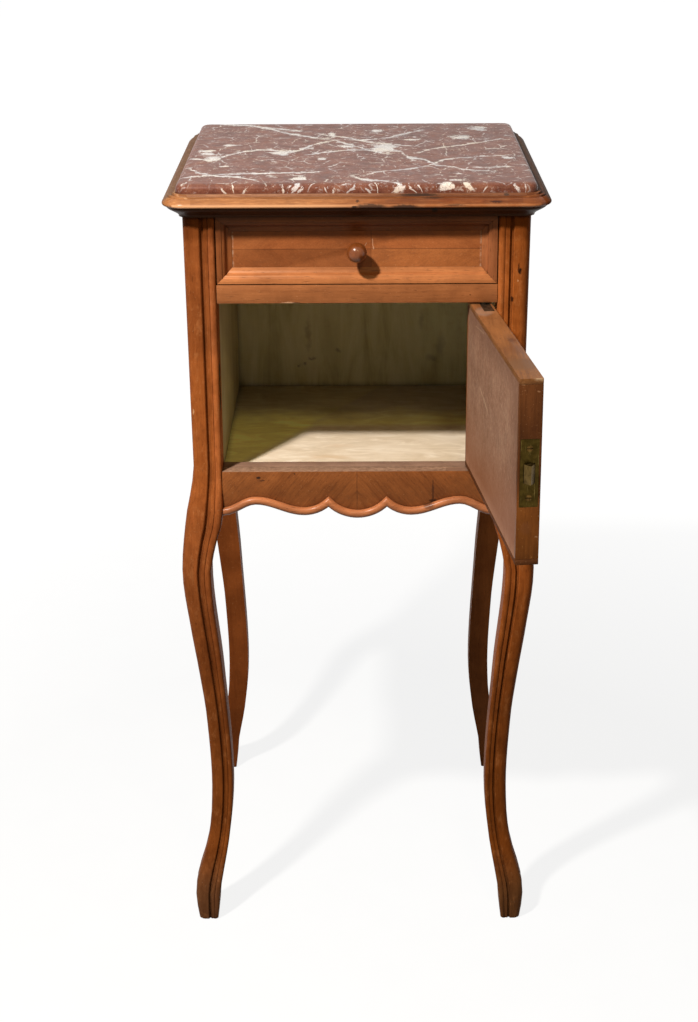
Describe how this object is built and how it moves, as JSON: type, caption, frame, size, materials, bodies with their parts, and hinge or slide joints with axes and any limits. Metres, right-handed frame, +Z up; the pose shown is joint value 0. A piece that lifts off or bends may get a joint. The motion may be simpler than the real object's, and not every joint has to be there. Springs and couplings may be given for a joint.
{
  "type": "bedside pot cupboard",
  "caption": "Narrow bedside cupboard on tall cabriole legs: marble top, moulded drawer with a ball knob, and a panelled door hung on the right over a scalloped apron.",
  "frame": {"origin": "on the floor, under the middle of the case between its corner posts", "axes": "+Z up, +X to the right of a person who faces the front, the front faces -Y"},
  "size_m": [0.393, 0.6531, 0.8535],
  "materials": {
    "marble": "polished",
    "walnut": "French polished",
    "veneered_walnut": "French polished",
    "painted_pine": "stained, unpolished",
    "beech": "plain",
    "brass": "tarnished",
    "spring_steel": "plain"
  },
  "bodies": {
    "case": {"marble_top": "marble", "top_frame_front": "walnut", "top_frame_right": "walnut", "top_frame_back": "walnut", "top_frame_left": "walnut", "under_moulding_front": "walnut", "under_moulding_left": "walnut", "under_moulding_right": "walnut", "leg_front_left": "walnut", "leg_front_right": "walnut", "leg_rear_left": "walnut", "leg_rear_right": "walnut", "side_panel_left": "walnut", "side_panel_right": "walnut", "lining_left": "painted_pine", "lining_right": "painted_pine", "back_panel": "painted_pine", "top_rail": "walnut", "drawer_rail": "walnut", "front_apron": "veneered_walnut", "apron_bead": "walnut", "sill_strip": "walnut", "back_rail_upper": "beech", "back_rail_lower": "beech", "floor_board": "painted_pine", "floor_bearer_left": "beech", "floor_bearer_right": "beech", "dust_board": "painted_pine", "kicker_left": "beech", "kicker_right": "beech", "drawer_stops": "beech", "door_stop": "beech", "strike_plate": "brass", "strike_screws": "brass", "pivot_plate_upper": "brass", "pivot_plate_lower": "brass"},
    "drawer": {"drawer_front": "veneered_walnut", "drawer_moulding_bottom": "walnut", "drawer_moulding_right": "walnut", "drawer_moulding_top": "walnut", "drawer_moulding_left": "walnut", "drawer_side_left": "beech", "drawer_side_right": "beech", "drawer_back": "beech", "drawer_bottom": "beech", "drawer_knob": "walnut"},
    "door": {"door_core": "veneered_walnut", "door_lipping_top": "walnut", "door_lipping_bottom": "walnut", "door_lipping_free": "walnut", "door_lipping_hinge": "walnut", "door_mouldings": "walnut", "door_knob": "walnut", "hinge_leaf_upper": "brass", "hinge_leaf_lower": "brass", "latch_case": "brass", "latch_screws": "brass", "latch_spring": "spring_steel"},
    "bolt": {"latch_bolt": "brass"}
  },
  "joints": [
    {"name": "door_hinge", "type": "hinge", "parent": "case", "child": "door", "pos_m": [0.1305, -0.176, 0.6368], "axis": [0, 0, 1], "range_deg": [-96.3, 15.7]},
    {"name": "drawer_slide", "type": "slide", "parent": "case", "child": "drawer", "axis": [0, -1, 0], "range_m": [0, 0.2]},
    {"name": "latch_slide", "type": "slide", "parent": "door", "child": "bolt", "axis": [-0.1097, 0.994, 0], "range_m": [0, 0.007], "stiffness_N_per_m": 300, "springref_m": -0.005, "deforming": ["latch_spring"]}
  ]
}
